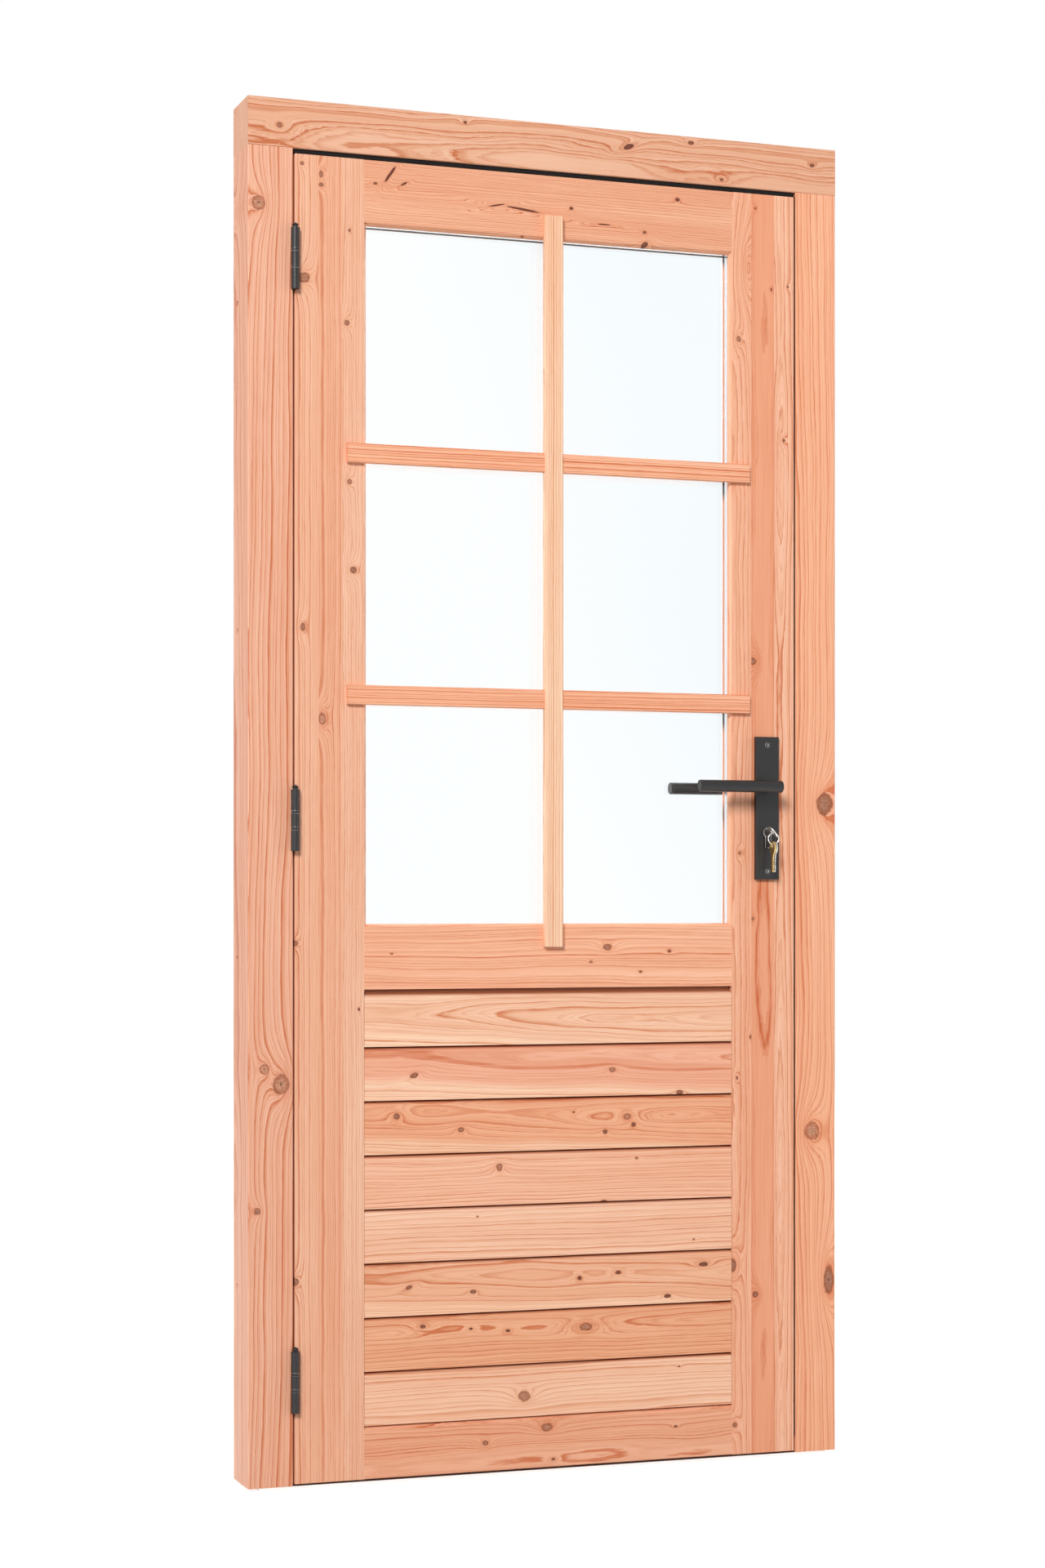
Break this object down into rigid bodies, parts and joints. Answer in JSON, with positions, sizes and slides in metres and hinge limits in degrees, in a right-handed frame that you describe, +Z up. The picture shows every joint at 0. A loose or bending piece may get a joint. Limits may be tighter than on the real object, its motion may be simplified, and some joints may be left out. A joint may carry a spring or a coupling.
{
  "type": "half-glazed timber door with frame",
  "caption": "Single-leaf timber door in its frame: glazed upper half with flat glazing bars, shiplap boards below, butt hinges, lever handle on a long plate and a key in the lock.",
  "frame": {"origin": "middle of the threshold's underside", "axes": "+X across the door from the hinges to the lock, +Y from the outside face to the inside, +Z up"},
  "size_m": [0.976, 0.143, 2.105],
  "materials": {
    "frame_timber": "planed softwood, unfinished",
    "leaf_timber": "planed softwood, unfinished",
    "board_timber": "planed softwood, unfinished",
    "bar_timber": "planed softwood, unfinished",
    "panel_ply": "sanded veneer board",
    "glass": "clear float glass",
    "spacer": "mill finish",
    "threshold_metal": "matt anodised",
    "seal_rubber": "matt black",
    "black_metal": "satin black powder coat",
    "lock_steel": "zinc plated",
    "barrel_metal": "satin black",
    "plug_brass": "turned, unpolished",
    "key_steel": "nickel plated",
    "key_brass": "milled brass"
  },
  "bodies": {
    "frame": {"header": "frame_timber", "hinge_jamb": "frame_timber", "lock_jamb": "frame_timber", "threshold": "threshold_metal", "weather_seal": "seal_rubber", "strike_plate": "lock_steel", "strike_screws": "lock_steel", "frame_flap_top": "black_metal", "frame_flap_middle": "black_metal", "frame_flap_bottom": "black_metal", "hinge_pins": "black_metal", "hinge_rings": "black_metal", "frame_hinge_screws": "black_metal"},
    "leaf": {"hinge_stile": "leaf_timber", "lock_stile": "leaf_timber", "top_rail": "leaf_timber", "middle_rail": "leaf_timber", "bottom_rail": "leaf_timber", "board_1": "board_timber", "board_2": "board_timber", "board_3": "board_timber", "board_4": "board_timber", "board_5": "board_timber", "board_6": "board_timber", "board_7": "board_timber", "board_8": "board_timber", "back_panel": "panel_ply", "outer_pane": "glass", "inner_pane": "glass", "pane_spacer": "spacer", "bead_top": "leaf_timber", "bead_bottom": "leaf_timber", "bead_left": "leaf_timber", "bead_right": "leaf_timber", "upright_bar": "bar_timber", "upper_bar_left": "bar_timber", "upper_bar_right": "bar_timber", "lower_bar_left": "bar_timber", "lower_bar_right": "bar_timber", "door_flap_top": "black_metal", "door_flap_middle": "black_metal", "door_flap_bottom": "black_metal", "door_hinge_screws": "black_metal", "outer_plate": "black_metal", "inner_plate": "black_metal", "plate_bolts": "black_metal", "lock_case": "lock_steel", "lock_front_plate": "lock_steel", "lock_screws": "lock_steel", "key_barrel": "barrel_metal"},
    "latch": {"latch_bolt": "plug_brass"},
    "bolt": {"dead_bolt": "lock_steel"},
    "lever": {"outer_lever": "black_metal", "inner_lever": "black_metal", "spindle": "lock_steel"},
    "key": {"key_plug": "plug_brass", "key": "key_steel"},
    "ring": {"key_ring": "key_steel"},
    "spare_left": {"spare_key_left": "key_brass"},
    "spare_right": {"spare_key_right": "key_steel"}
  },
  "joints": [
    {"name": "leaf_swing", "type": "hinge", "parent": "frame", "child": "leaf", "pos_m": [-0.4165, -0.0518, 1.013], "axis": [0, 0, -1], "range_deg": [0, 170]},
    {"name": "lever_turn", "type": "hinge", "parent": "leaf", "child": "lever", "pos_m": [0.365, -0.025, 1.073], "axis": [0, -1, 0], "range_deg": [0, 40], "stiffness_Nm_per_rad": 1.5, "springref_deg": -28.65},
    {"name": "latch_slide", "type": "slide", "parent": "leaf", "child": "latch", "axis": [-1, 0, 0], "range_m": [0, 0.012]},
    {"name": "key_turn", "type": "hinge", "parent": "leaf", "child": "key", "pos_m": [0.365, -0.025, 1.001], "axis": [0, -1, 0], "range_deg": [-37, 323]},
    {"name": "bolt_slide", "type": "slide", "parent": "leaf", "child": "bolt", "axis": [1, 0, 0], "range_m": [-0.00205, 0.01794]},
    {"name": "ring_swing", "type": "hinge", "parent": "key", "child": "ring", "pos_m": [0.36608, -0.0727, 0.99956], "axis": [-1, 0, 0], "range_deg": [-5, 60]},
    {"name": "spare_left_swing", "type": "hinge", "parent": "ring", "child": "spare_left", "pos_m": [0.36448, -0.0727, 0.98156], "axis": [-1, 0, 0], "range_deg": [-10, 30]},
    {"name": "spare_right_swing", "type": "hinge", "parent": "ring", "child": "spare_right", "pos_m": [0.36768, -0.0727, 0.98156], "axis": [-1, 0, 0], "range_deg": [-10, 30]}
  ],
  "couplings": [
    {"joint": "latch_slide", "follows": "lever_turn", "m_per_rad": 0.017189},
    {"joint": "key_turn", "follows": "bolt_slide", "rad_per_m": 314.16}
  ]
}
